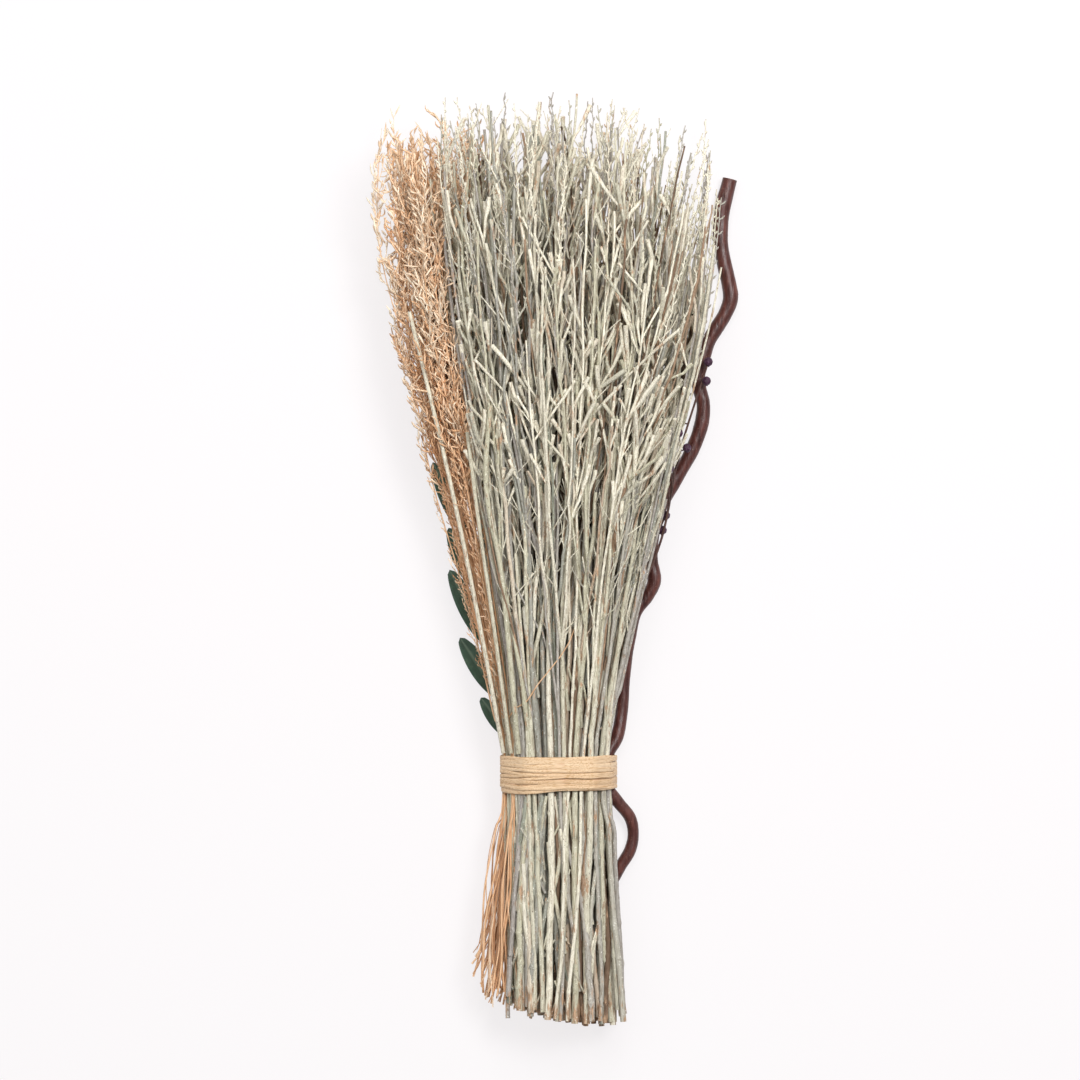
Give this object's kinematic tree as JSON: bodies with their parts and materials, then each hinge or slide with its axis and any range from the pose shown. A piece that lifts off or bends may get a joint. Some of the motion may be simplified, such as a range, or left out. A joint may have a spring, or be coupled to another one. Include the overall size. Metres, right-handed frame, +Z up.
{
  "type": "tied bundle of dried whitewashed twigs and grass",
  "caption": "Dried twig bundle lying on its side, with a band of feathery grass, a curly vine, berries and leaves, tied with raffia.",
  "frame": {"origin": "middle of the bounding box's base, on the surface that the bundle lies on", "axes": "+X across the bundle towards the curly vine, +Y along it from the cut ends to the tips, +Z up from the surface"},
  "size_m": [0.2298, 0.5998, 0.0889],
  "materials": {
    "whitewashed_twig": "matte",
    "dried_grass": "matte",
    "vine_bark": "satin",
    "berry": "matte",
    "leaf_stem_bark": "matte",
    "leaf": "satin",
    "raffia": "matte"
  },
  "bodies": {
    "root": {"twig_01": "whitewashed_twig", "twig_02": "whitewashed_twig", "twig_03": "whitewashed_twig", "twig_04": "whitewashed_twig", "twig_05": "whitewashed_twig", "twig_06": "whitewashed_twig", "twig_07": "whitewashed_twig", "twig_08": "whitewashed_twig", "twig_09": "whitewashed_twig", "twig_10": "whitewashed_twig", "twig_11": "whitewashed_twig", "twig_12": "whitewashed_twig", "twig_13": "whitewashed_twig", "twig_14": "whitewashed_twig", "twig_15": "whitewashed_twig", "twig_16": "whitewashed_twig", "twig_17": "whitewashed_twig", "twig_18": "whitewashed_twig", "twig_19": "whitewashed_twig", "twig_20": "whitewashed_twig", "twig_21": "whitewashed_twig", "twig_22": "whitewashed_twig", "twig_23": "whitewashed_twig", "twig_24": "whitewashed_twig", "twig_25": "whitewashed_twig", "twig_26": "whitewashed_twig", "twig_27": "whitewashed_twig", "twig_28": "whitewashed_twig", "twig_29": "whitewashed_twig", "twig_30": "whitewashed_twig", "twig_31": "whitewashed_twig", "twig_32": "whitewashed_twig", "twig_33": "whitewashed_twig", "twig_34": "whitewashed_twig", "twig_35": "whitewashed_twig", "twig_36": "whitewashed_twig", "twig_37": "whitewashed_twig", "twig_38": "whitewashed_twig", "grass_plume_1": "dried_grass", "grass_plume_2": "dried_grass", "grass_plume_3": "dried_grass", "grass_plume_4": "dried_grass", "grass_plume_5": "dried_grass", "grass_plume_6": "dried_grass", "grass_plume_7": "dried_grass", "grass_plume_8": "dried_grass", "curly_vine": "vine_bark", "berry_sprig_1": "berry", "berry_sprig_2": "berry", "leaf_stem": "leaf_stem_bark", "leaf_1": "leaf", "leaf_2": "leaf", "leaf_3": "leaf", "leaf_4": "leaf", "leaf_5": "leaf", "leaf_6": "leaf", "raffia_tie": "raffia"}
  },
  "joints": []
}
